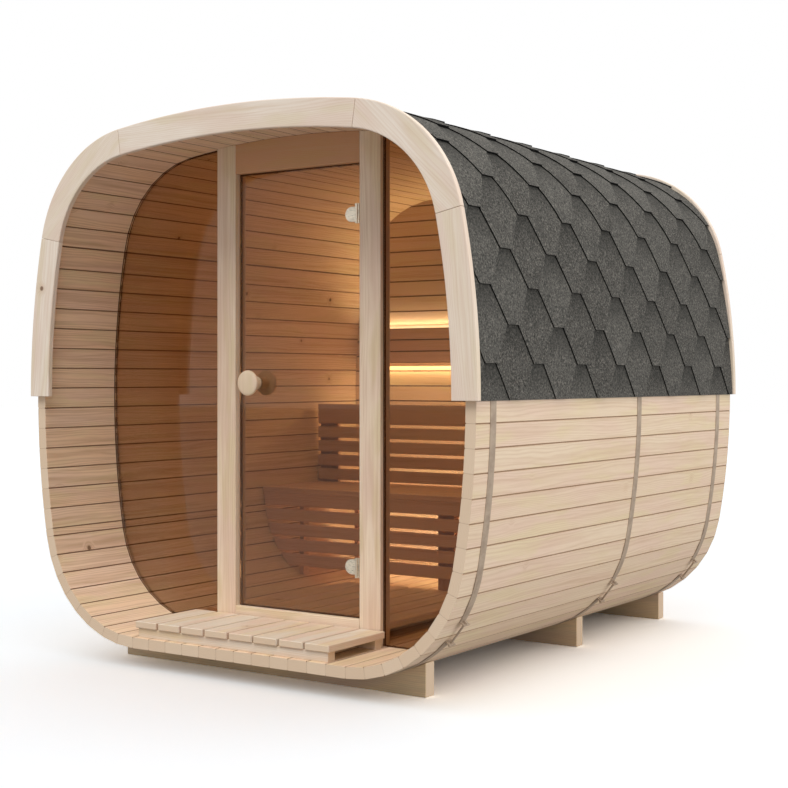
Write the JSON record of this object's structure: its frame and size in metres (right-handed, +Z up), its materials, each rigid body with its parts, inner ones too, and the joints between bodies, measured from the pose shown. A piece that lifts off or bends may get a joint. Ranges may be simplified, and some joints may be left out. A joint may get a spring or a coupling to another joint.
{
  "type": "outdoor sauna",
  "caption": "Outdoor sauna: staved shell of rounded-square section on cradles, shingled roof, open porch, glazed front wall with hinged glass door, slatted bench inside.",
  "frame": {"origin": "on the ground under the middle of the sauna, at the centre of its plan", "axes": "+X to the right seen from the porch, +Y from the porch to the rear, +Z up"},
  "size_m": [2.26, 2.455, 2.2709],
  "materials": {
    "shell_wood": "planed pale softwood, untreated, satin",
    "frame_wood": "planed pale softwood posts and trim, satin",
    "deck_wood": "planed pale softwood slats, matt",
    "bench_wood": "heat-treated brown softwood, matt",
    "room_wood": "planed softwood boards, satin",
    "cradle_wood": "sawn softwood, matt",
    "shingle": "dark grey mineral-faced bitumen shingle, matt",
    "strap_steel": "galvanised band, satin",
    "hinge_steel": "brushed, satin",
    "bronze_glass": "bronze-tinted toughened glass, polished",
    "knob_wood": "turned pale softwood, satin",
    "strip_light": "warm white light diffuser"
  },
  "bodies": {
    "sauna": {"shell_floor": "shell_wood", "shell_lower_left": "shell_wood", "shell_lower_right": "shell_wood", "shell_left_wall": "shell_wood", "shell_right_wall": "shell_wood", "shell_upper_left": "shell_wood", "shell_upper_right": "shell_wood", "shell_ceiling": "shell_wood", "roof_covering": "shingle", "front_fascia_legs": "frame_wood", "front_fascia_corners": "frame_wood", "front_fascia_top": "frame_wood", "rear_fascia_legs": "frame_wood", "rear_fascia_corners": "frame_wood", "rear_fascia_top": "frame_wood", "front_cradle": "cradle_wood", "middle_cradle": "cradle_wood", "rear_cradle": "cradle_wood", "front_strap": "strap_steel", "middle_strap": "strap_steel", "rear_strap": "strap_steel", "left_post": "frame_wood", "right_post": "frame_wood", "door_header": "frame_wood", "door_threshold": "frame_wood", "left_glass": "bronze_glass", "right_glass": "bronze_glass", "rear_wall": "room_wood", "deck_rails": "deck_wood", "deck_boards": "deck_wood", "floor_rails": "room_wood", "floor_boards": "room_wood", "bench_seat": "bench_wood", "bench_skirt": "bench_wood", "bench_frames": "bench_wood", "backrest_slats": "bench_wood", "backrest_uprights": "bench_wood", "light_board": "bench_wood", "light_strips": "strip_light", "post_hinges": "hinge_steel"},
    "door": {"door_glass": "bronze_glass", "door_hinges": "hinge_steel", "outer_knob": "knob_wood", "inner_knob": "knob_wood"}
  },
  "joints": [
    {"name": "door_hinge", "type": "hinge", "parent": "sauna", "child": "door", "pos_m": [0.313, -0.8085, 1.146], "axis": [0, 0, 1], "range_deg": [0, 110]}
  ]
}
